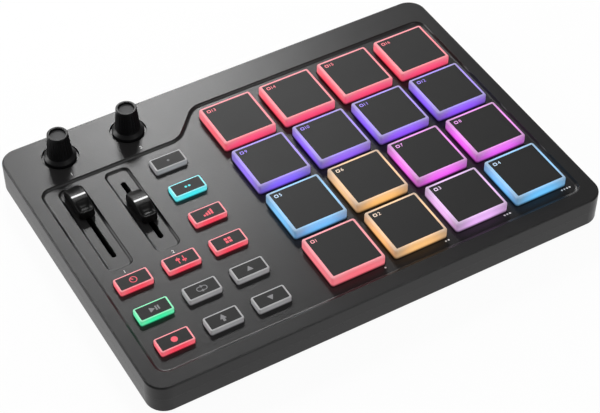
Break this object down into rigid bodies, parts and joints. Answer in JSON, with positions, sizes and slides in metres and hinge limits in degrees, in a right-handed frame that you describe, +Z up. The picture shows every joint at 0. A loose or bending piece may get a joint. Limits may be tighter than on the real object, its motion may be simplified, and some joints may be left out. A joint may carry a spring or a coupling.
{
  "type": "drum pad controller",
  "caption": "Flat desktop drum pad controller: a grid of lit square rubber pads, lit rubber keys, short-throw faders and tall knobs in a dark two-part plastic case with a stepped panel.",
  "frame": {"origin": "on the table, under the middle of the case", "axes": "+X to the right along the long side, +Y to the back, +Z up"},
  "size_m": [0.2852, 0.2004, 0.0387],
  "materials": {
    "case": "fine textured dark grey moulding",
    "case_bottom": "fine textured dark grey moulding",
    "foot": "soft black rubber",
    "board": "green lacquered circuit board",
    "black_part": "black moulding",
    "sensor": "amber film with dark ink",
    "lamp": "small white lamp body",
    "steel": "pressed steel",
    "screw": "black coated steel",
    "shaft": "turned metal",
    "knob": "black moulding with a fine grain",
    "fader_cap": "black moulding with a white index line",
    "pad_red": "lit translucent rubber with a black face",
    "pad_violet": "lit translucent rubber with a black face",
    "pad_blue": "lit translucent rubber with a black face",
    "pad_peach": "lit translucent rubber with a black face",
    "pad_magenta": "lit translucent rubber with a black face",
    "pad_lilac": "lit translucent rubber with a black face",
    "pad_coral": "lit translucent rubber with a black face",
    "key_red": "lit translucent rubber with a black face",
    "key_cyan": "lit translucent rubber with a black face",
    "key_green": "lit translucent rubber with a black face",
    "key_grey": "translucent rubber, unlit, with a black face"
  },
  "bodies": {
    "case": {"top_case": "case", "bottom_case": "case_bottom", "feet": "foot", "control_board": "board", "pad_board": "board", "board_header": "black_part", "pad_sensors": "sensor", "pad_leds": "lamp", "button_leds": "lamp", "controller_chip": "black_part", "usb_port": "steel", "usb_tongue": "black_part", "case_screws": "screw", "control_board_screws": "screw", "pad_board_screws": "screw", "knob_pot_left": "steel", "knob_pot_right": "steel", "fader_track_left": "steel", "fader_track_right": "steel"},
    "pad_01": {"pad_01": "pad_coral"},
    "pad_02": {"pad_02": "pad_peach"},
    "pad_03": {"pad_03": "pad_lilac"},
    "pad_04": {"pad_04": "pad_blue"},
    "pad_05": {"pad_05": "pad_blue"},
    "pad_06": {"pad_06": "pad_peach"},
    "pad_07": {"pad_07": "pad_magenta"},
    "pad_08": {"pad_08": "pad_magenta"},
    "pad_09": {"pad_09": "pad_violet"},
    "pad_10": {"pad_10": "pad_violet"},
    "pad_11": {"pad_11": "pad_violet"},
    "pad_12": {"pad_12": "pad_violet"},
    "pad_13": {"pad_13": "pad_red"},
    "pad_14": {"pad_14": "pad_red"},
    "pad_15": {"pad_15": "pad_red"},
    "pad_16": {"pad_16": "pad_red"},
    "record_button": {"record_button": "key_red"},
    "play_button": {"play_button": "key_green"},
    "knob_bank_button": {"knob_bank_button": "key_red"},
    "shift_button": {"shift_button": "key_grey"},
    "note_repeat_button": {"note_repeat_button": "key_grey"},
    "fader_bank_button": {"fader_bank_button": "key_red"},
    "down_button": {"down_button": "key_grey"},
    "up_button": {"up_button": "key_grey"},
    "pad_bank_button": {"pad_bank_button": "key_red"},
    "full_level_button": {"full_level_button": "key_red"},
    "bank_b_button": {"bank_b_button": "key_cyan"},
    "bank_a_button": {"bank_a_button": "key_grey"},
    "knob_left": {"knob_left": "knob", "knob_shaft_left": "shaft"},
    "knob_right": {"knob_right": "knob", "knob_shaft_right": "shaft"},
    "fader_left": {"fader_cap_left": "fader_cap", "fader_lever_left": "shaft"},
    "fader_right": {"fader_cap_right": "fader_cap", "fader_lever_right": "shaft"}
  },
  "joints": [
    {"name": "pad_01_press", "type": "slide", "parent": "case", "child": "pad_01", "axis": [0, 0, -1], "range_m": [0, 0.0008], "stiffness_N_per_m": 5000},
    {"name": "pad_02_press", "type": "slide", "parent": "case", "child": "pad_02", "axis": [0, 0, -1], "range_m": [0, 0.0008], "stiffness_N_per_m": 5000},
    {"name": "pad_03_press", "type": "slide", "parent": "case", "child": "pad_03", "axis": [0, 0, -1], "range_m": [0, 0.0008], "stiffness_N_per_m": 5000},
    {"name": "pad_04_press", "type": "slide", "parent": "case", "child": "pad_04", "axis": [0, 0, -1], "range_m": [0, 0.0008], "stiffness_N_per_m": 5000},
    {"name": "pad_05_press", "type": "slide", "parent": "case", "child": "pad_05", "axis": [0, 0, -1], "range_m": [0, 0.0008], "stiffness_N_per_m": 5000},
    {"name": "pad_06_press", "type": "slide", "parent": "case", "child": "pad_06", "axis": [0, 0, -1], "range_m": [0, 0.0008], "stiffness_N_per_m": 5000},
    {"name": "pad_07_press", "type": "slide", "parent": "case", "child": "pad_07", "axis": [0, 0, -1], "range_m": [0, 0.0008], "stiffness_N_per_m": 5000},
    {"name": "pad_08_press", "type": "slide", "parent": "case", "child": "pad_08", "axis": [0, 0, -1], "range_m": [0, 0.0008], "stiffness_N_per_m": 5000},
    {"name": "pad_09_press", "type": "slide", "parent": "case", "child": "pad_09", "axis": [0, 0, -1], "range_m": [0, 0.0008], "stiffness_N_per_m": 5000},
    {"name": "pad_10_press", "type": "slide", "parent": "case", "child": "pad_10", "axis": [0, 0, -1], "range_m": [0, 0.0008], "stiffness_N_per_m": 5000},
    {"name": "pad_11_press", "type": "slide", "parent": "case", "child": "pad_11", "axis": [0, 0, -1], "range_m": [0, 0.0008], "stiffness_N_per_m": 5000},
    {"name": "pad_12_press", "type": "slide", "parent": "case", "child": "pad_12", "axis": [0, 0, -1], "range_m": [0, 0.0008], "stiffness_N_per_m": 5000},
    {"name": "pad_13_press", "type": "slide", "parent": "case", "child": "pad_13", "axis": [0, 0, -1], "range_m": [0, 0.0008], "stiffness_N_per_m": 5000},
    {"name": "pad_14_press", "type": "slide", "parent": "case", "child": "pad_14", "axis": [0, 0, -1], "range_m": [0, 0.0008], "stiffness_N_per_m": 5000},
    {"name": "pad_15_press", "type": "slide", "parent": "case", "child": "pad_15", "axis": [0, 0, -1], "range_m": [0, 0.0008], "stiffness_N_per_m": 5000},
    {"name": "pad_16_press", "type": "slide", "parent": "case", "child": "pad_16", "axis": [0, 0, -1], "range_m": [0, 0.0008], "stiffness_N_per_m": 5000},
    {"name": "record_button_press", "type": "slide", "parent": "case", "child": "record_button", "axis": [0, 0, -1], "range_m": [0, 0.001], "stiffness_N_per_m": 1500},
    {"name": "play_button_press", "type": "slide", "parent": "case", "child": "play_button", "axis": [0, 0, -1], "range_m": [0, 0.001], "stiffness_N_per_m": 1500},
    {"name": "knob_bank_button_press", "type": "slide", "parent": "case", "child": "knob_bank_button", "axis": [0, 0, -1], "range_m": [0, 0.001], "stiffness_N_per_m": 1500},
    {"name": "shift_button_press", "type": "slide", "parent": "case", "child": "shift_button", "axis": [0, 0, -1], "range_m": [0, 0.001], "stiffness_N_per_m": 1500},
    {"name": "note_repeat_button_press", "type": "slide", "parent": "case", "child": "note_repeat_button", "axis": [0, 0, -1], "range_m": [0, 0.001], "stiffness_N_per_m": 1500},
    {"name": "fader_bank_button_press", "type": "slide", "parent": "case", "child": "fader_bank_button", "axis": [0, 0, -1], "range_m": [0, 0.001], "stiffness_N_per_m": 1500},
    {"name": "down_button_press", "type": "slide", "parent": "case", "child": "down_button", "axis": [0, 0, -1], "range_m": [0, 0.001], "stiffness_N_per_m": 1500},
    {"name": "up_button_press", "type": "slide", "parent": "case", "child": "up_button", "axis": [0, 0, -1], "range_m": [0, 0.001], "stiffness_N_per_m": 1500},
    {"name": "pad_bank_button_press", "type": "slide", "parent": "case", "child": "pad_bank_button", "axis": [0, 0, -1], "range_m": [0, 0.001], "stiffness_N_per_m": 1500},
    {"name": "full_level_button_press", "type": "slide", "parent": "case", "child": "full_level_button", "axis": [0, 0, -1], "range_m": [0, 0.001], "stiffness_N_per_m": 1500},
    {"name": "bank_b_button_press", "type": "slide", "parent": "case", "child": "bank_b_button", "axis": [0, 0, -1], "range_m": [0, 0.001], "stiffness_N_per_m": 1500},
    {"name": "bank_a_button_press", "type": "slide", "parent": "case", "child": "bank_a_button", "axis": [0, 0, -1], "range_m": [0, 0.001], "stiffness_N_per_m": 1500},
    {"name": "knob_left_turn", "type": "hinge", "parent": "case", "child": "knob_left", "pos_m": [-0.11065, 0.08145, 0.02], "axis": [0, 0, 1], "range_deg": [-140, 140]},
    {"name": "knob_right_turn", "type": "hinge", "parent": "case", "child": "knob_right", "pos_m": [-0.06735, 0.08145, 0.02], "axis": [0, 0, 1], "range_deg": [-140, 140]},
    {"name": "fader_left_slide", "type": "slide", "parent": "case", "child": "fader_left", "axis": [0, 1, 0], "range_m": [-0.04265, 0.00235]},
    {"name": "fader_right_slide", "type": "slide", "parent": "case", "child": "fader_right", "axis": [0, 1, 0], "range_m": [-0.02255, 0.02245]}
  ]
}
